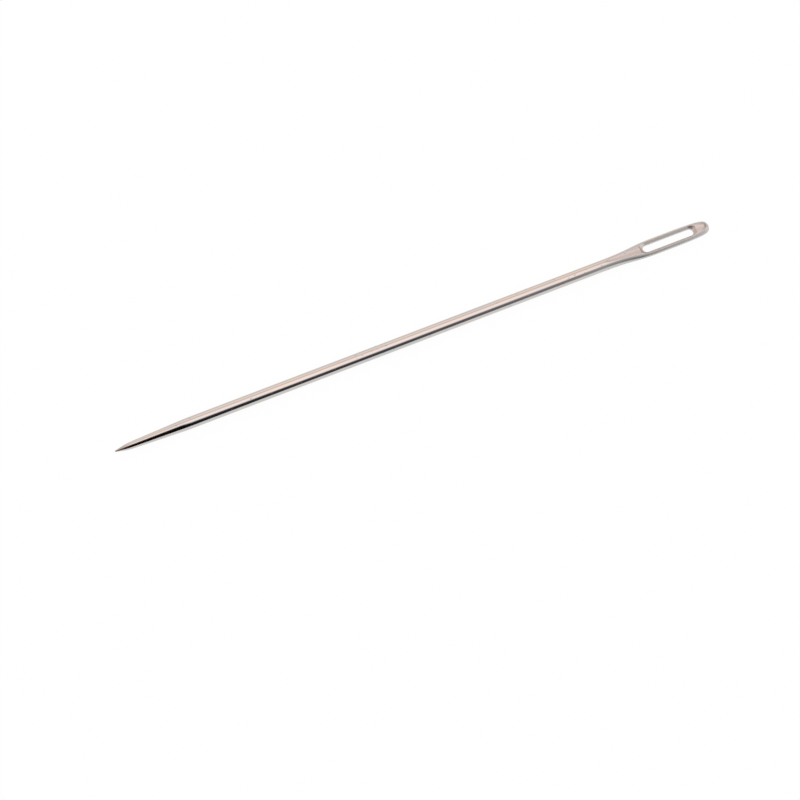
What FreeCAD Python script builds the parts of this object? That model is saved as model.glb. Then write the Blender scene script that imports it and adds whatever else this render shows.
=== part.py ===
"""Leather needle with a long eye, one length of hardened and nickel plated steel wire.

The needle lies on its shaft with the eye facing up. X runs from the point to the nose of
the head, Z is up, and the origin is the middle of the footprint. Sizes are millimetres.
"""

import FreeCAD, Part

import math
import os

# Wire
length = 54.0
shaft_diameter = 1.0

# Point: a long slender taper, blunted over its last millimetre and rounded at the end
point_length = 6.2
point_taper_angle = 2.3
point_blunt_angle = 13.0
point_blend_radius = 2.5
point_end_radius = 0.06

# Head: the wire is spread to an oval that is widest beside the eye
head_length = 10.0
head_width = 1.53
head_thickness = 0.78
widest_to_nose = 4.2
neck_to_nose = 7.6
neck_width = 1.20
shoulder_to_nose = 6.4
shoulder_width = 1.445

# Nose: a full dome that closes the head
dome_length = 1.0
dome_width = 1.38
dome_thickness = 0.74
dome_narrowing = 0.17
dome_fullness = 1.3

# Eye: a long slot with round ends, its wall narrowed to a land between two flared mouths
eye_length = 4.75
eye_width = 0.72
eye_to_nose = 1.44
eye_land = 0.18
eye_rim_radius = 0.06
eye_flare_angle = 33.0

# Gutters: a trough on each side of the head in line with the eye, with heights above the axis
gutter_radius = 0.70
gutter_lead_length = 3.5
gutter_floor_before_eye = 0.25
gutter_floor_past_eye = 0.26
gutter_floor_at_nose = 0.27
gutter_rise_to_nose = 0.36
gutter_rise_angle = 24.0

axis_height = shaft_diameter / 2
nose_x = length / 2
tip_x = -length / 2
head_start_x = nose_x - head_length
along_x = FreeCAD.Vector(1, 0, 0)


def at(x, y, z):
    """A place in the needle: x along it, y across it, z above its axis."""
    return FreeCAD.Vector(x, y, axis_height + z)


def blend_arc(corner, first_angle, second_angle):
    """Arc that rounds a convex corner between two flanks at their angles to the axis."""
    turn = (first_angle - second_angle) / 2
    middle_angle = (first_angle + second_angle) / 2
    reach = point_blend_radius * math.tan(turn)
    dip = point_blend_radius * (1 / math.cos(turn) - 1)
    start = corner - FreeCAD.Vector(math.cos(first_angle), 0, math.sin(first_angle)) * reach
    end = corner + FreeCAD.Vector(math.cos(second_angle), 0, math.sin(second_angle)) * reach
    inward = FreeCAD.Vector(math.sin(middle_angle), 0, -math.cos(middle_angle))
    return start, corner + inward * dip, end


def wire_with_point():
    """Straight wire with its tapered and blunted point, turned about the axis."""
    blunt = math.radians(point_blunt_angle)
    taper = math.radians(point_taper_angle)
    cap_x = tip_x + point_end_radius

    def cap(angle):
        x = cap_x - point_end_radius * math.sin(angle)
        return at(x, 0, point_end_radius * math.cos(angle))

    tip = at(tip_x, 0, 0)
    shoulder = at(tip_x + point_length, 0, shaft_diameter / 2)
    shaft_end = at(head_start_x, 0, shaft_diameter / 2)
    span = shoulder - cap(blunt)
    rise_left = span.z - span.x * math.tan(taper)
    run = rise_left / (math.tan(blunt) - math.tan(taper))
    corner = cap(blunt) + FreeCAD.Vector(run, 0, run * math.tan(blunt))
    blend_start, blend_middle, blend_end = blend_arc(corner, blunt, taper)
    outline = [
        Part.Arc(tip, cap(math.pi / 4), cap(blunt)).toShape(),
        Part.makeLine(cap(blunt), blend_start),
        Part.Arc(blend_start, blend_middle, blend_end).toShape(),
        Part.makeLine(blend_end, shoulder),
        Part.makeLine(shoulder, shaft_end),
        Part.makeLine(shaft_end, at(head_start_x, 0, 0)),
        Part.makeLine(at(head_start_x, 0, 0), tip),
    ]
    face = Part.Face(Part.Wire(outline))
    return face.revolve(at(0, 0, 0), along_x, 360)


def thickness_for(width):
    """The wire thins as it spreads."""
    spread = (width - shaft_diameter) / (head_width - shaft_diameter)
    return shaft_diameter - spread * (shaft_diameter - head_thickness)


def oval(to_nose, width, thickness):
    """One station of the head: x, half the width and half the thickness there."""
    return FreeCAD.Vector(nose_x - to_nose, width / 2, thickness / 2)


def closing_direction():
    """How the head narrows where the dome of the nose takes over."""
    return FreeCAD.Vector(1, -dome_narrowing / 2, 0)


def spread_profile():
    """The head from the shaft to the dome, as a smooth curve through its stations."""
    stations = [
        oval(head_length, shaft_diameter, shaft_diameter),
        oval(neck_to_nose, neck_width, thickness_for(neck_width)),
        oval(shoulder_to_nose, shoulder_width, thickness_for(shoulder_width)),
        oval(widest_to_nose, head_width, head_thickness),
        oval(dome_length, dome_width, dome_thickness),
    ]
    curve = Part.BSplineCurve()
    curve.interpolate(
        Points=stations, InitialTangent=along_x, FinalTangent=closing_direction()
    )
    return curve


def dome_profile():
    """The dome of the nose, one conic from the end of the spread part to the tip of the nose."""
    start = oval(dome_length, dome_width, dome_thickness)
    corner = start + closing_direction() * dome_length
    end = oval(0, 0, 0)
    curve = Part.BSplineCurve()
    curve.buildFromPolesMultsKnots(
        [start, corner, end], [3, 3], [0, 1], False, 2, [1, dome_fullness, 1]
    )
    return curve


def quarter_skin(profile, side, face_up):
    """A quarter of the head's oval skin, on one side of the axis and above or below it."""
    poles = []
    weights = []
    for pole, weight in zip(profile.getPoles(), profile.getWeights()):
        y = side * pole.y
        z = face_up * pole.z
        poles.append([at(pole.x, y, 0), at(pole.x, y, z), at(pole.x, 0, z)])
        weights.append([weight, weight * math.sqrt(0.5), weight])
    skin = Part.BSplineSurface()
    skin.buildFromPolesMultsKnots(
        poles,
        profile.getMultiplicities(),
        [3, 3],
        profile.getKnots(),
        [0, 1],
        False,
        False,
        profile.Degree,
        2,
        weights,
    )
    return skin.toShape()


def head_blank():
    """The spread head before its gutters and eye."""
    skins = []
    for profile in (spread_profile(), dome_profile()):
        for side in (1, -1):
            for face_up in (1, -1):
                skins.append(quarter_skin(profile, side, face_up))
    rim = Part.makeCircle(shaft_diameter / 2, at(head_start_x, 0, 0), along_x)
    skins.append(Part.Face(Part.Wire(rim)))
    shell = Part.makeShell(skins)
    shell.sewShape()
    return Part.makeSolid(shell)


def gutter_cutter(face_up):
    """Spindle that sinks the trough into the upper or lower side of the head."""
    shaft_radius = shaft_diameter / 2
    clear = shaft_diameter / 10
    eye_start_x = nose_x - eye_to_nose - eye_length
    eye_end_x = nose_x - eye_to_nose
    lead_slope = (shaft_radius - gutter_floor_before_eye) / gutter_lead_length
    rise = math.tan(math.radians(gutter_rise_angle))
    lead_x = eye_start_x - gutter_lead_length - clear / lead_slope
    exit_x = nose_x + clear
    turning_height = gutter_floor_before_eye + gutter_radius
    floor = [
        (lead_x, shaft_radius + clear),
        (eye_start_x, gutter_floor_before_eye),
        (eye_end_x, gutter_floor_past_eye),
        (nose_x - gutter_rise_to_nose, gutter_floor_at_nose),
        (exit_x, gutter_floor_at_nose + rise * (gutter_rise_to_nose + clear)),
    ]
    corners = [at(x, 0, face_up * z) for x, z in floor]
    corners.append(at(exit_x, 0, face_up * turning_height))
    corners.append(at(lead_x, 0, face_up * turning_height))
    corners.append(corners[0])
    section = Part.Face(Part.makePolygon(corners))
    return section.revolve(at(0, 0, face_up * turning_height), along_x, 360)


def eye_half_section(x):
    """Half of the eye's waisted section across the needle, from its middle to one side."""
    wall = eye_width / 2
    land = eye_land / 2
    mouth_height = shaft_diameter / 2
    flare = math.radians(eye_flare_angle)
    turn = math.pi / 2 - flare

    def rim(angle, up):
        y = wall + eye_rim_radius * (1 - math.cos(angle))
        z = land + eye_rim_radius * math.sin(angle)
        return at(x, y, up * z)

    rim_height = land + eye_rim_radius * math.sin(turn)
    flare_run = (mouth_height - rim_height) / math.tan(flare)
    mouth = wall + eye_rim_radius * (1 - math.cos(turn)) + flare_run
    outline = [
        Part.makeLine(at(x, 0, -mouth_height), at(x, mouth, -mouth_height)),
        Part.makeLine(at(x, mouth, -mouth_height), rim(turn, -1)),
        Part.Arc(rim(turn, -1), rim(turn / 2, -1), rim(0, -1)).toShape(),
        Part.makeLine(rim(0, -1), rim(0, 1)),
        Part.Arc(rim(0, 1), rim(turn / 2, 1), rim(turn, 1)).toShape(),
        Part.makeLine(rim(turn, 1), at(x, mouth, mouth_height)),
        Part.makeLine(at(x, mouth, mouth_height), at(x, 0, mouth_height)),
        Part.makeLine(at(x, 0, mouth_height), at(x, 0, -mouth_height)),
    ]
    return Part.Face(Part.Wire(outline))


def eye_cutter():
    """Waisted bar with round ends that pierces the head and flares both mouths of the eye."""
    start_x = nose_x - eye_to_nose - eye_length + eye_width / 2
    end_x = nose_x - eye_to_nose - eye_width / 2
    upright = FreeCAD.Vector(0, 0, 1)
    start_round = eye_half_section(start_x).revolve(at(start_x, 0, 0), upright, 180)
    end_round = eye_half_section(end_x).revolve(at(end_x, 0, 0), upright, -180)
    left_bar = eye_half_section(start_x).extrude(along_x * (end_x - start_x))
    right_bar = left_bar.mirror(at(0, 0, 0), FreeCAD.Vector(0, 1, 0))
    return start_round.fuse([end_round, left_bar, right_bar])


def needle():
    """The whole needle, point, shaft, guttered head and eye in one piece."""
    blank = wire_with_point().fuse(head_blank())
    body = blank.cut([gutter_cutter(1), gutter_cutter(-1), eye_cutter()])
    return body.Solids[0]


os.makedirs("parts", exist_ok=True)
needle().exportStep("parts/needle.step")
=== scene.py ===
"""Leather needle lying on a pale table under soft studio light.

The needle lies along X with its point at -X and the eye facing up. The piece is worked in
millimetres about its own axis and then brought to the table in metres.
"""

import math

import bmesh
import bpy
import numpy
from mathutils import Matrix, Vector


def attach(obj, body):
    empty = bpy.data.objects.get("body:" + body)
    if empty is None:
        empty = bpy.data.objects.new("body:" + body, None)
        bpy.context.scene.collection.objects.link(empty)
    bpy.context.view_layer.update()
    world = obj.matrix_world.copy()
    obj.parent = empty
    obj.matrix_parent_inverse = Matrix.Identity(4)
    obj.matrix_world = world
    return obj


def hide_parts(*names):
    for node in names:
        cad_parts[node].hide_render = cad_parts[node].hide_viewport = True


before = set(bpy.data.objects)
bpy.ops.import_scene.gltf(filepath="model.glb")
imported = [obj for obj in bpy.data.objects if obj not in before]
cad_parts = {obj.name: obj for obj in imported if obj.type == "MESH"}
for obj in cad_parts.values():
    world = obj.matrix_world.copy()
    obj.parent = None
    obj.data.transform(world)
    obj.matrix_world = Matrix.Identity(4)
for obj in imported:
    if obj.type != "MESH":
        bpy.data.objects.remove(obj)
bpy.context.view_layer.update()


# Camera
# A long lens looks down on the needle from the front left, so the needle climbs to the
# right across the picture and its eye is seen nearly square on.

camera_turn = math.radians(23.03)
camera_tilt = math.radians(65)
camera_distance = 0.18582
aimed_at = Vector((-0.003743, -0.004846, 0.000508))

toward_camera = Vector((
    -math.sin(camera_turn) * math.cos(camera_tilt),
    -math.cos(camera_turn) * math.cos(camera_tilt),
    math.sin(camera_tilt),
))
lens = bpy.data.cameras.new("table_camera")
lens.sensor_width = 36
lens.lens = 101.25
lens.clip_start = 0.01
lens.clip_end = 5
table_camera = bpy.data.objects.new("table_camera", lens)
table_camera.location = aimed_at + toward_camera * camera_distance
table_camera.rotation_euler = (math.pi / 2 - camera_tilt, 0, -camera_turn)
bpy.context.collection.objects.link(table_camera)
bpy.context.scene.camera = table_camera


# Needle
# One length of hardened steel wire: ground to a long point, spread flat at the head, rolled
# with a gutter on both faces and pierced by a long eye, then polished and nickel plated.

length = 54.0
shaft_radius = 0.5
point_length = 6.2
point_taper = math.radians(2.3)
point_blunting = math.radians(13)
point_blend_radius = 2.5
point_end_radius = 0.06
point_shoulder_softness = 0.016

head_stations = (10.0, 7.6, 6.4, 4.2, 1.0)
head_half_widths = (0.5, 0.6, 0.7225, 0.765, 0.69)
head_half_thicknesses = (0.5, 0.4585, 0.408, 0.39, 0.37)
dome_corner_half_width = 0.605
dome_fullness = 1.3

eye_near_end = 6.19
eye_far_end = 1.44
eye_half_width = 0.36
land_half_height = 0.09
rim_radius = 0.06
flare_slope = math.tan(math.radians(33))

gutter_radius = 0.70
gutter_lead = 9.69
gutter_floor_near = 0.25
gutter_floor_far = 0.26
gutter_rise_start = 0.36
gutter_floor_nose = 0.27
gutter_rise = math.tan(math.radians(24))
gutter_edge_softness = 0.016
gutter_rise_softness = 0.03
plain_from = gutter_lead + 0.3


def clamped_slopes(places, sizes, first, last):
    """Slopes at the stations of the smoothest line through them."""
    count = len(places)
    terms = numpy.zeros((count, count))
    right = numpy.zeros(count)
    terms[0, 0] = terms[-1, -1] = 1
    right[0], right[-1] = first, last
    for i in range(1, count - 1):
        before = places[i] - places[i - 1]
        after = places[i + 1] - places[i]
        terms[i, i - 1] = 1 / before
        terms[i, i] = 2 / before + 2 / after
        terms[i, i + 1] = 1 / after
        rise_before = 3 * (sizes[i] - sizes[i - 1]) / before ** 2
        rise_after = 3 * (sizes[i + 1] - sizes[i]) / after ** 2
        right[i] = rise_before + rise_after
    return numpy.linalg.solve(terms, right)


def along_stations(to_nose, sizes, slopes):
    """Size between the head's stations, at a distance from the nose."""
    for i in range(len(head_stations) - 1):
        if to_nose >= head_stations[i + 1]:
            break
    run = head_stations[i + 1] - head_stations[i]
    share = (to_nose - head_stations[i]) / run
    left = 1 - share
    return (
        sizes[i] * (1 + 2 * share) * left ** 2
        + sizes[i + 1] * (1 + 2 * left) * share ** 2
        + run * slopes[i] * share * left ** 2
        - run * slopes[i + 1] * left * share ** 2
    )


width_slopes = clamped_slopes(head_stations, head_half_widths, 0, 0.085)
thickness_slopes = clamped_slopes(head_stations, head_half_thicknesses, 0, 0)


def softly_lower(first, second, softness):
    """The lower of two heights, with the edge between them rounded."""
    overlap = max(softness - abs(first - second), 0) / softness
    return min(first, second) - overlap ** 2 * softness / 4


point_shoulder_reach = point_shoulder_softness / math.tan(point_taper)


def section(x):
    """Half the width and half the thickness of the needle before its gutters, at x."""
    to_nose = length / 2 - x
    to_tip = x + length / 2
    if to_nose <= 0 or to_tip <= 0:
        return 0, 0
    if to_nose < head_stations[-1]:
        ratio = math.sqrt(dome_fullness ** 2 - 1 + 1 / to_nose) - dome_fullness
        half_width = (head_half_widths[-1] + 2 * dome_fullness * ratio * dome_corner_half_width) * to_nose
        half_thickness = head_half_thicknesses[-1] * (1 + 2 * dome_fullness * ratio) * to_nose
        return half_width, half_thickness
    if to_nose < head_stations[0]:
        return (
            along_stations(to_nose, head_half_widths, width_slopes),
            along_stations(to_nose, head_half_thicknesses, thickness_slopes),
        )
    if to_tip < point_length + point_shoulder_reach:
        cap_end = point_end_radius * (1 - math.sin(point_blunting))
        cap_end_radius = point_end_radius * math.cos(point_blunting)
        if to_tip < cap_end:
            radius = math.sqrt(point_end_radius ** 2 - (point_end_radius - to_tip) ** 2)
            return radius, radius
        blunt = cap_end_radius + math.tan(point_blunting) * (to_tip - cap_end)
        taper = shaft_radius - math.tan(point_taper) * (point_length - to_tip)
        change = math.tan(point_blunting) - math.tan(point_taper)
        blend_half = point_blend_radius * (math.sin(point_blunting) - math.sin(point_taper)) / 2
        softness = 2 * blend_half * change
        radius = softly_lower(softly_lower(blunt, taper, softness), shaft_radius, point_shoulder_softness)
        return radius, radius
    return shaft_radius, shaft_radius


def gutter_height(x, y):
    """Height of the trough above the axis."""
    to_nose = length / 2 - x
    if to_nose > eye_near_end:
        share = (gutter_lead - to_nose) / (gutter_lead - eye_near_end)
        floor = shaft_radius + share * (gutter_floor_near - shaft_radius)
    elif to_nose > eye_far_end:
        share = (eye_near_end - to_nose) / (eye_near_end - eye_far_end)
        floor = gutter_floor_near + share * (gutter_floor_far - gutter_floor_near)
    else:
        share = (eye_far_end - to_nose) / (eye_far_end - gutter_rise_start)
        level = gutter_floor_far + share * (gutter_floor_nose - gutter_floor_far)
        rising = gutter_floor_nose + gutter_rise * (gutter_rise_start - to_nose)
        floor = -softly_lower(-level, -rising, gutter_rise_softness)
    turning_height = gutter_floor_near + gutter_radius
    reach = (turning_height - floor) ** 2 - y ** 2
    if reach <= 0:
        return turning_height
    return turning_height - math.sqrt(reach)


def flare_height(x, y):
    """Height of the eye's flared mouth above the axis."""
    first = length / 2 - eye_near_end + eye_half_width
    last = length / 2 - eye_far_end - eye_half_width
    nearest = min(max(x, first), last)
    out = math.hypot(x - nearest, y) - eye_half_width
    out = max(out, 0)
    rim_turn = math.atan(1 / flare_slope)
    rim_run = rim_radius * (1 - math.cos(rim_turn))
    if out < rim_run:
        return land_half_height + math.sqrt(rim_radius ** 2 - (rim_radius - out) ** 2)
    rim_top = land_half_height + rim_radius * math.sin(rim_turn)
    return rim_top + flare_slope * (out - rim_run)


def oval_height(x, y):
    """Height of the needle above its axis before its gutters and eye."""
    half_width, half_thickness = section(x)
    if half_width <= 0:
        return 0
    return half_thickness * math.sqrt(max(1 - (y / half_width) ** 2, 0))


def upper_height(x, y):
    """Height of the needle's upper side above its axis."""
    oval = oval_height(x, y)
    if length / 2 - x > plain_from:
        return oval
    grooved = softly_lower(oval, gutter_height(x, y), gutter_edge_softness)
    return softly_lower(grooved, flare_height(x, y), gutter_edge_softness)


# The trough is satin once it lies this deep under the oval. Shade is painted dark where the flare
# meets the trough, more so on the shaft's side, and round the trough's end by the nose.
satin_depth = 0.02
meeting_reach = 0.045
meeting_shade_at_shaft = 0.7
meeting_shade_past_it = 0.25
meeting_changes_at = eye_near_end - 1
nose_shade_from = 0.85
nose_shade_fade = 0.3
nose_edge_depth = 0.012
nose_edge_reach = 0.03
end_wall_from = gutter_rise_start + 0.08
end_wall_fade = 0.12
end_wall_depth = 0.015


def held(share):
    """A share held between none and all."""
    return min(max(share, 0), 1)


def satin_and_shade_at(x, y):
    """How far a place lies in the satin trough or flare, and how much shade is painted on it by a crease.
    """
    to_nose = length / 2 - x
    if to_nose > plain_from:
        return 0, 0
    gutter = gutter_height(x, y)
    flare = flare_height(x, y)
    depth = oval_height(x, y) - min(gutter, flare)
    sunk = held(depth / satin_depth)
    painted_shade = meeting_shade_at_shaft if to_nose > meeting_changes_at else meeting_shade_past_it
    meeting = max(1 - abs(gutter - flare) / meeting_reach, 0) * sunk * painted_shade
    by_nose = held((nose_shade_from - to_nose) / nose_shade_fade)
    edge = max(1 - abs(depth - nose_edge_depth) / nose_edge_reach, 0) * by_nose
    past_rise = held((end_wall_from - to_nose) / end_wall_fade)
    end_wall = past_rise * held(depth / end_wall_depth)
    return sunk, max(meeting, edge, end_wall)


steel = bmesh.new()
rim_number = steel.verts.layers.float.new("rim_number")
station = steel.verts.layers.float.new("station")
trough = steel.verts.layers.float.new("trough")
crease = steel.verts.layers.float.new("crease")

near_round = length / 2 - eye_near_end + eye_half_width
far_round = length / 2 - eye_far_end - eye_half_width
face_lead = 0.6
face_start = length / 2 - eye_near_end - face_lead
head_start = length / 2 - head_stations[0]
rim_segments = 144
rim_side_cuts = 44
tiny = 1e-6
merging = 1e-5

# The rim of the eye: a circle whose halves are drawn apart, its long sides divided.
bmesh.ops.create_circle(steel, cap_ends=False, segments=rim_segments, radius=eye_half_width)
for vert in steel.verts:
    vert[station] = 1 if vert.co.x > tiny else 0
long_sides = [edge for edge in steel.edges if edge.verts[0][station] != edge.verts[1][station]]
for vert in steel.verts:
    vert.co.x += far_round if vert[station] else near_round
bmesh.ops.subdivide_edges(steel, edges=long_sides, cuts=rim_side_cuts)
rim_verts = list(steel.verts)
for number, vert in enumerate(rim_verts):
    vert[rim_number] = number


def outward_from_eye(vert):
    """Direction straight out of the eye at a vertex of its rim."""
    nearest = min(max(vert.co.x, near_round), far_round)
    return Vector((vert.co.x - nearest, vert.co.y, 0)).normalized()


def outline_beyond(outward):
    """Where a line from the middle of the eye's far round end meets the outline of the nose."""
    halvings = 40
    well_outside = 3.0
    inside, outside = 0.0, well_outside
    for _ in range(halvings):
        middle = (inside + outside) / 2
        tried = Vector((far_round, 0, 0)) + outward * middle
        if abs(tried.y) < section(tried.x)[0]:
            inside = middle
        else:
            outside = middle
    return Vector((far_round, 0, 0)) + outward * inside


# Each vertex of the rim runs out to a goal on the outline of the head, or on the straight line
# where the face starts, and its rings bunch up near an outline that drops away.
starts = []
goals = []
bunching = []
for vert in rim_verts:
    outward = outward_from_eye(vert)
    rim_place = Vector((vert.co.x, vert.co.y, 0))
    side = 1 if rim_place.y > 0 else -1
    bunched = 1
    if rim_place.x <= near_round + tiny:
        across = max(-1, min(1, outward.y))
        goal = Vector((face_start, section(face_start)[0] * across, 0))
        bunched = abs(across) ** 4
    elif rim_place.x < far_round - tiny:
        share = (rim_place.x - near_round) / (far_round - near_round)
        x = face_start + share * (far_round - face_start)
        goal = Vector((x, side * section(x)[0], 0))
    else:
        goal = outline_beyond(outward)
    starts.append((rim_place, outward))
    goals.append(goal)
    bunching.append(bunched)

# The face of the head grows out from the rim in rings, first even with the rim and then
# spreading to the outline of the head.
rim_steps = (
    0.004, 0.010, 0.018, 0.028, 0.045, 0.075, 0.11, 0.14, 0.165, 0.185, 0.20, 0.215, 0.23, 0.245, 0.262,
)
outer_rings = 22
last_ring = len(rim_steps) + outer_rings - 1

for vert in rim_verts:
    vert.co.z = land_half_height
growing = list(steel.edges)
for ring in range(last_ring + 1):
    grown = bmesh.ops.extrude_edge_only(steel, edges=growing)["geom"]
    growing = [item for item in grown if isinstance(item, bmesh.types.BMEdge)]
    for vert in (item for item in grown if isinstance(item, bmesh.types.BMVert)):
        number = round(vert[rim_number])
        rim_place, outward = starts[number]
        if ring < len(rim_steps):
            spot = rim_place + outward * rim_steps[ring]
        else:
            even = (ring - len(rim_steps) + 1) / outer_rings
            share = even + bunching[number] * (math.sin(even * math.pi / 2) - even)
            left_at = rim_place + outward * rim_steps[-1]
            spot = left_at + (goals[number] - left_at) * share
        vert.co = Vector((spot.x, spot.y, upper_height(spot.x, spot.y)))
        vert[trough], vert[crease] = satin_and_shade_at(spot.x, spot.y)
        if ring == last_ring and bunching[number] == 1:
            vert.co.z = 0

# The straight line left open at the shaft end of the face is drawn back along the needle, in
# rings that stand close in the gutter, at the point's shoulder and toward the tip.
gap_in_gutter = 0.05
gap_past_gutter = 0.1
gutter_run_out = 0.2
shaft_rings = 18
shoulder_rings = 12
flank_rings = 48
flank_bunching = 1.5
tip_rings = 10

run = []
x = face_start
while x > length / 2 - gutter_lead - gutter_run_out:
    x -= gap_in_gutter
    run.append(x)
while x > head_start:
    x -= gap_past_gutter
    run.append(x)
run.append(head_start)
run = sorted(set(run), reverse=True)
shaft_start = point_length - length / 2 + point_shoulder_reach
shaft_run = run[-1] - shaft_start
for step in range(1, shaft_rings + 1):
    run.append(head_start - shaft_run * step / shaft_rings)
for step in range(1, shoulder_rings + 1):
    run.append(shaft_start - 2 * point_shoulder_reach * step / shoulder_rings)
flank_start = run[-1]
flank_end = -length / 2 + point_end_radius * (1 - math.sin(point_blunting))
for step in range(1, flank_rings + 1):
    share = 1 - (1 - step / flank_rings) ** flank_bunching
    run.append(flank_start + (flank_end - flank_start) * share)
for step in range(1, tip_rings + 1):
    turned = point_blunting + step / tip_rings * (math.pi / 2 - point_blunting)
    run.append(-length / 2 + point_end_radius * (1 - math.sin(turned)))

drawn = [edge for edge in growing if all(abs(vert.co.x - face_start) < merging for vert in edge.verts)]
for edge in drawn:
    for vert in edge.verts:
        vert[station] = vert.co.y / section(face_start)[0]
for x in run:
    grown = bmesh.ops.extrude_edge_only(steel, edges=drawn)["geom"]
    drawn = [item for item in grown if isinstance(item, bmesh.types.BMEdge)]
    for vert in (item for item in grown if isinstance(item, bmesh.types.BMVert)):
        across = max(-1, min(1, vert[station]))
        y = section(x)[0] * across
        z = 0 if abs(across) > 1 - tiny else upper_height(x, y)
        vert.co = Vector((x, y, z))
        vert[trough], vert[crease] = satin_and_shade_at(x, y)

# The lower side is the upper one mirrored, and the land of the eye joins the two rims. The
# needle is then brought from millimetres about its axis to metres on the table.
millimetre = 0.001
upper_side = list(steel.verts) + list(steel.edges) + list(steel.faces)
bmesh.ops.mirror(steel, geom=upper_side, axis="Z", merge_dist=merging)
bmesh.ops.remove_doubles(steel, verts=steel.verts, dist=2 * merging)
rims = [edge for edge in steel.edges if edge.is_boundary]
bmesh.ops.bridge_loops(steel, edges=rims)
bmesh.ops.dissolve_degenerate(steel, dist=tiny, edges=steel.edges)
bmesh.ops.recalc_face_normals(steel, faces=steel.faces)
for name in ("rim_number", "station"):
    steel.verts.layers.float.remove(steel.verts.layers.float[name])
bmesh.ops.scale(steel, vec=(millimetre, millimetre, millimetre), verts=steel.verts)
bmesh.ops.translate(steel, vec=(0, 0, shaft_radius * millimetre), verts=steel.verts)
for face in steel.faces:
    face.smooth = True
needle_mesh = bpy.data.meshes.new("leather_needle")
steel.to_mesh(needle_mesh)
steel.free()
leather_needle = bpy.data.objects.new("leather_needle", needle_mesh)
bpy.context.collection.objects.link(leather_needle)

plate = bpy.data.materials.new("nickel_plate")
plate.use_nodes = True
nodes = plate.node_tree.nodes
links = plate.node_tree.links
shader = nodes["Principled BSDF"]
shader.inputs["Metallic"].default_value = 1
needle_place = nodes.new("ShaderNodeTexCoord")


def plate_pattern(name, kind, stretch, size):
    """A pattern in the plate, in the needle's own coordinates, stretched along each axis."""
    mapping = nodes.new("ShaderNodeMapping")
    mapping.inputs["Scale"].default_value = stretch
    pattern = nodes.new(kind)
    pattern.name = name
    pattern.inputs["Scale"].default_value = size
    links.new(needle_place.outputs["Object"], mapping.inputs["Vector"])
    links.new(mapping.outputs["Vector"], pattern.inputs["Vector"])
    return pattern


def plate_range(source, low, high, to_low, to_high):
    """A value taken from one range to another and held at its ends."""
    spread = nodes.new("ShaderNodeMapRange")
    spread.inputs["From Min"].default_value = low
    spread.inputs["From Max"].default_value = high
    spread.inputs["To Min"].default_value = to_low
    spread.inputs["To Max"].default_value = to_high
    links.new(source, spread.inputs["Value"])
    return spread.outputs["Result"]


def plate_mix(share, first, second):
    """Two colours of plate mixed by a share."""
    mixed = nodes.new("ShaderNodeMixRGB")
    links.new(share, mixed.inputs["Fac"])
    for socket, colour in (("Color1", first), ("Color2", second)):
        if isinstance(colour, tuple):
            mixed.inputs[socket].default_value = (*colour, 1)
        else:
            links.new(colour, mixed.inputs[socket])
    return mixed.outputs["Color"]


def plate_sum(total, *values):
    """Values added up."""
    for value in values:
        added = nodes.new("ShaderNodeMath")
        links.new(total, added.inputs[0])
        links.new(value, added.inputs[1])
        total = added.outputs[0]
    return total


# Fine lines run along the needle from drawing and polishing, and the plate is a little warmer
# and cooler in patches. A few small dark pits are left in it, and the head is less polished.
polish_lines = plate_pattern("polish_lines", "ShaderNodeTexNoise", (0.03, 1, 1), 9000)
polish_lines.inputs["Detail"].default_value = 3
tint = plate_pattern("plate_tint", "ShaderNodeTexNoise", (0.25, 1, 1), 900)
tint.inputs["Detail"].default_value = 2
pits = plate_pattern("pits", "ShaderNodeTexVoronoi", (0.5, 1, 1), 2600)
satin = nodes.new("ShaderNodeAttribute")
satin.attribute_name = "trough"
corner = nodes.new("ShaderNodeAttribute")
corner.attribute_name = "crease"

warm_share = plate_range(tint.outputs["Fac"], 0.35, 0.65, 0.0, 1.0)
polished = plate_mix(warm_share, (0.57, 0.56, 0.55), (0.61, 0.57, 0.53))
toned = plate_mix(satin.outputs["Fac"], polished, (0.64, 0.60, 0.575))
pit_share = plate_range(pits.outputs["Distance"], 0.05, 0.16, 0.5, 0.0)
pitted = plate_mix(pit_share, toned, (0.24, 0.21, 0.19))
# Shade is painted on the plate: it darkens toward brown along the creases of the trough and flare.
crease_shade_share = plate_range(corner.outputs["Fac"], 0.0, 0.8, 0.0, 0.9)
with_crease_shade = plate_mix(crease_shade_share, pitted, (0.265, 0.23, 0.215))
links.new(with_crease_shade, shader.inputs["Base Color"])

line_roughness = plate_range(polish_lines.outputs["Fac"], 0.3, 0.7, 0.06, 0.13)
trough_roughness = plate_range(satin.outputs["Fac"], 0.0, 1.0, 0.0, 0.10)
pit_roughness = plate_range(pits.outputs["Distance"], 0.05, 0.16, 0.25, 0.0)
head_dulls_from = 0.0172
head_is_dull_at = 0.0192
along_needle = nodes.new("ShaderNodeSeparateXYZ")
links.new(needle_place.outputs["Object"], along_needle.inputs[0])
head_roughness = plate_range(along_needle.outputs["X"], head_dulls_from, head_is_dull_at, 0.0, 0.19)
roughness = plate_sum(line_roughness, trough_roughness, pit_roughness, head_roughness)
links.new(roughness, shader.inputs["Roughness"])

relief = nodes.new("ShaderNodeBump")
relief.inputs["Strength"].default_value = 0.2
relief.inputs["Distance"].default_value = 0.0000015
links.new(polish_lines.outputs["Fac"], relief.inputs["Height"])
links.new(relief.outputs["Normal"], shader.inputs["Normal"])
needle_mesh.materials.append(plate)

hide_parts("needle")
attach(leather_needle, "root")


# Table
# A plain matt white table top, wide enough to fill the picture. The camera and the polished
# metal see it as a white ground, which still takes a faint shadow of the needle.

table_half_side = 0.6
ground_share = 0.9
ground_strength = 1.05

top = bmesh.new()
bmesh.ops.create_grid(top, x_segments=1, y_segments=1, size=table_half_side)
table_mesh = bpy.data.meshes.new("table")
top.to_mesh(table_mesh)
top.free()
table_top = bpy.data.objects.new("table", table_mesh)
bpy.context.collection.objects.link(table_top)

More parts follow.
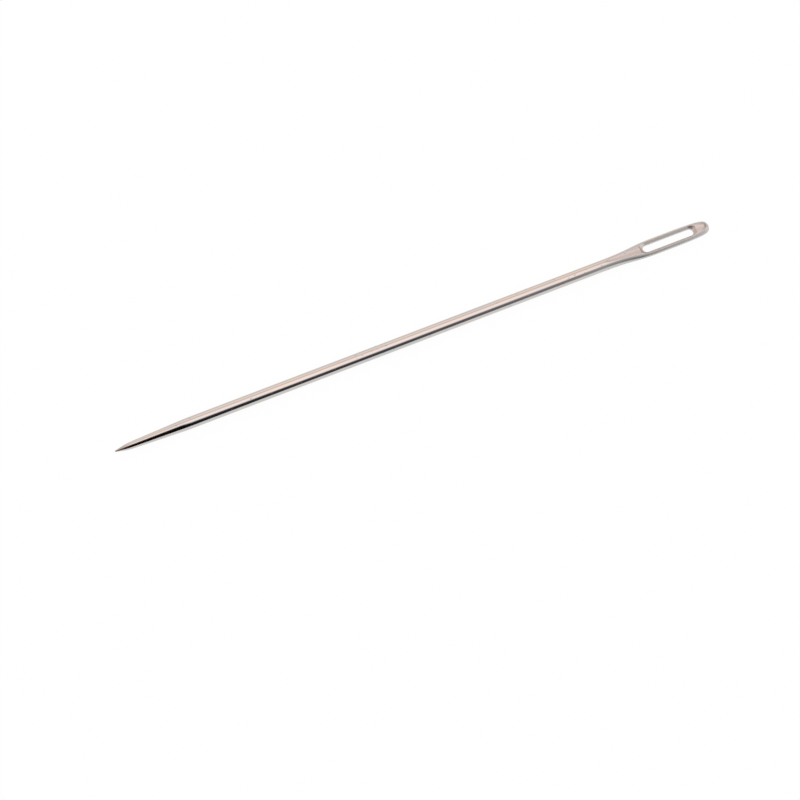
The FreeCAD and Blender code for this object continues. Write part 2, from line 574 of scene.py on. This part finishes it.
white = bpy.data.materials.new("white_table")
white.use_nodes = True
nodes = white.node_tree.nodes
links = white.node_tree.links
surface = nodes["Principled BSDF"]
surface.inputs["Base Color"].default_value = (0.9, 0.9, 0.9, 1)
surface.inputs["Roughness"].default_value = 0.9
surface.inputs["Specular IOR Level"].default_value = 0.0
glow = nodes.new("ShaderNodeEmission")
glow.inputs["Color"].default_value = (1, 1, 1, 1)
glow.inputs["Strength"].default_value = ground_strength
path = nodes.new("ShaderNodeLightPath")
seen = path.outputs["Is Camera Ray"]
for ray in ("Is Glossy Ray", "Is Transmission Ray"):
    added = nodes.new("ShaderNodeMath")
    added.use_clamp = True
    links.new(seen, added.inputs[0])
    links.new(path.outputs[ray], added.inputs[1])
    seen = added.outputs[0]
white_share = nodes.new("ShaderNodeMath")
white_share.operation = "MULTIPLY"
white_share.inputs[1].default_value = ground_share
blend = nodes.new("ShaderNodeMixShader")
links.new(seen, white_share.inputs[0])
links.new(white_share.outputs[0], blend.inputs[0])
links.new(surface.outputs[0], blend.inputs[1])
links.new(glow.outputs[0], blend.inputs[2])
links.new(blend.outputs[0], nodes["Material Output"].inputs["Surface"])
table_mesh.materials.append(white)


# Light
# One soft box and a plain pale room light the table. Polished metal sees a warm sheet of light
# over and behind it and a dark card in front, which draws the dark line along the shaft.

room = bpy.data.worlds.new("studio")
bpy.context.scene.world = room
room.use_nodes = True
nodes = room.node_tree.nodes
links = room.node_tree.links
background = nodes["Background"]
background.inputs["Strength"].default_value = 1

# The angle round the needle is counted from overhead toward the front, in degrees, and the
# place along it is the X part of the direction.
direction = nodes.new("ShaderNodeTexCoord")
parts = nodes.new("ShaderNodeSeparateXYZ")
frontward = nodes.new("ShaderNodeMath")
frontward.operation = "MULTIPLY"
frontward.inputs[1].default_value = -1
turn = nodes.new("ShaderNodeMath")
turn.operation = "ARCTAN2"
degrees = nodes.new("ShaderNodeMath")
degrees.operation = "DEGREES"
links.new(direction.outputs["Generated"], parts.inputs[0])
links.new(parts.outputs["Y"], frontward.inputs[0])
links.new(frontward.outputs[0], turn.inputs[0])
links.new(parts.outputs["Z"], turn.inputs[1])
links.new(turn.outputs[0], degrees.inputs[0])
around = degrees.outputs[0]
lengthwise = parts.outputs["X"]


def light_ramp(name, source, low, high, stops):
    """Tones of the light over a range of a value."""
    place_in_range = nodes.new("ShaderNodeMapRange")
    place_in_range.inputs["From Min"].default_value = low
    place_in_range.inputs["From Max"].default_value = high
    links.new(source, place_in_range.inputs["Value"])
    tones = nodes.new("ShaderNodeValToRGB")
    tones.name = name
    ramp = tones.color_ramp
    while len(ramp.elements) < len(stops):
        ramp.elements.new(0.999)
    for element, (value, colour) in zip(ramp.elements, stops):
        element.position = (value - low) / (high - low)
        element.color = (*colour, 1)
    links.new(place_in_range.outputs[0], tones.inputs[0])
    return tones.outputs["Color"]


point_turn_ends = -0.03
shaft_turn_starts = 0.12
shaft_turn_ends = 0.31
nose_turn_starts = 0.38


def card_edge(name, at_point, at_shaft, at_nose, softness_at_point, softness):
    """Soft edge of a card round the needle, at its own angle by the point, shaft and nose."""
    ends = []
    for offset in (-0.5, 0.5):
        edge = nodes.new("ShaderNodeMapRange")
        edge.inputs["From Min"].default_value = point_turn_ends
        edge.inputs["From Max"].default_value = shaft_turn_starts
        edge.inputs["To Min"].default_value = at_point + offset * softness_at_point
        edge.inputs["To Max"].default_value = at_shaft + offset * softness
        links.new(lengthwise, edge.inputs["Value"])
        swing = nodes.new("ShaderNodeMapRange")
        swing.inputs["From Min"].default_value = shaft_turn_ends
        swing.inputs["From Max"].default_value = nose_turn_starts
        swing.inputs["To Min"].default_value = 0
        swing.inputs["To Max"].default_value = at_nose - at_shaft
        links.new(lengthwise, swing.inputs["Value"])
        place_of_end = nodes.new("ShaderNodeMath")
        links.new(edge.outputs[0], place_of_end.inputs[0])
        links.new(swing.outputs[0], place_of_end.inputs[1])
        ends.append(place_of_end.outputs[0])
    share = nodes.new("ShaderNodeMapRange")
    share.name = name
    share.interpolation_type = "SMOOTHSTEP"
    links.new(around, share.inputs["Value"])
    links.new(ends[0], share.inputs["From Min"])
    links.new(ends[1], share.inputs["From Max"])
    return share.outputs[0]


def light_mix(kind, share, first, second):
    """Two lights mixed or multiplied."""
    mixed = nodes.new("ShaderNodeMixRGB")
    mixed.blend_type = kind
    if isinstance(share, float):
        mixed.inputs["Fac"].default_value = share
    else:
        links.new(share, mixed.inputs["Fac"])
    links.new(first, mixed.inputs["Color1"])
    links.new(second, mixed.inputs["Color2"])
    return mixed.outputs["Color"]


# A warm sheet of light stands over and behind the needle, with a brighter strip overhead.
sheet = light_ramp("warm_sheet", around, -180, 180, (
    (-180, (0.65, 0.62, 0.60)),
    (-90, (0.52, 0.54, 0.56)),
    (-81, (1.04, 0.96, 0.89)),
    (-55, (1.38, 1.20, 1.10)),
    (-33, (0.94, 0.79, 0.74)),
    (-8, (1.55, 1.36, 1.32)),
    (12, (1.52, 1.35, 1.32)),
    (180, (1.52, 1.35, 1.32)),
))
falloff = light_ramp("sheet_falloff", lengthwise, -1, 1, (
    (-1.0, (0.74, 0.74, 0.74)),
    (-0.66, (0.74, 0.74, 0.74)),
    (-0.44, (0.50, 0.48, 0.48)),
    (-0.10, (0.92, 0.92, 0.93)),
    (0.05, (1.00, 1.00, 1.00)),
    (0.26, (0.98, 0.97, 0.96)),
    (0.34, (0.74, 0.75, 0.77)),
    (0.40, (0.80, 0.81, 0.83)),
    (0.55, (0.68, 0.69, 0.72)),
    (1.0, (0.76, 0.77, 0.80)),
))
overhead = light_mix("MULTIPLY", 1.0, sheet, falloff)

# A dark card stands in front. It draws the dark line on the shaft and pales toward the head.
card = light_ramp("dark_card", lengthwise, -1, 1, (
    (-1.0, (0.22, 0.12, 0.12)),
    (-0.48, (0.22, 0.12, 0.12)),
    (-0.28, (0.037, 0.010, 0.010)),
    (-0.03, (0.003, 0.003, 0.003)),
    (0.06, (0.005, 0.006, 0.007)),
    (0.17, (0.062, 0.069, 0.088)),
    (0.25, (0.22, 0.22, 0.26)),
    (0.29, (0.71, 0.70, 0.70)),
    (0.32, (0.95, 0.94, 0.91)),
    (0.48, (0.75, 0.72, 0.72)),
    (0.75, (1.05, 1.04, 1.00)),
    (1.0, (1.05, 1.04, 1.00)),
))
with_card = light_mix("MIX", card_edge("card_top", 9, 32, 6, 24, 32), overhead, card)

# Pale low light comes back from the room under the card.
low_light = light_ramp("low_light", lengthwise, -1, 1, (
    (-1.0, (0.47, 0.45, 0.44)),
    (-0.03, (0.40, 0.35, 0.34)),
    (0.08, (0.42, 0.45, 0.52)),
    (0.17, (0.50, 0.54, 0.68)),
    (0.27, (0.31, 0.34, 0.42)),
    (0.36, (0.57, 0.57, 0.61)),
    (1.0, (0.55, 0.56, 0.62)),
))
along = light_mix("MIX", card_edge("card_foot", 112, 88, 86, 20, 18), with_card, low_light)

path = nodes.new("ShaderNodeLightPath")
plain = nodes.new("ShaderNodeMixRGB")
plain.inputs["Color1"].default_value = (0.55, 0.55, 0.55, 1)
links.new(path.outputs["Is Glossy Ray"], plain.inputs["Fac"])
links.new(along, plain.inputs["Color2"])
backdrop = nodes.new("ShaderNodeMixRGB")
backdrop.inputs["Color2"].default_value = (1, 1, 1, 1)
ground_seen = nodes.new("ShaderNodeMath")
ground_seen.use_clamp = True
links.new(path.outputs["Is Camera Ray"], ground_seen.inputs[0])
links.new(path.outputs["Is Transmission Ray"], ground_seen.inputs[1])
links.new(ground_seen.outputs[0], backdrop.inputs["Fac"])
links.new(plain.outputs["Color"], backdrop.inputs["Color1"])
links.new(backdrop.outputs["Color"], background.inputs["Color"])

soft_box = bpy.data.lights.new("soft_box", "AREA")
soft_box.shape = "RECTANGLE"
soft_box.size = 0.5
soft_box.size_y = 0.25
soft_box.energy = 0.12
soft_box_lamp = bpy.data.objects.new("soft_box", soft_box)
soft_box_lamp.location = (0.02, 0.10, 0.45)
soft_box_lamp.rotation_euler = (math.radians(-12.5), 0, 0)
soft_box_lamp.visible_glossy = False
bpy.context.collection.objects.link(soft_box_lamp)

bpy.context.scene.view_settings.view_transform = "Standard"
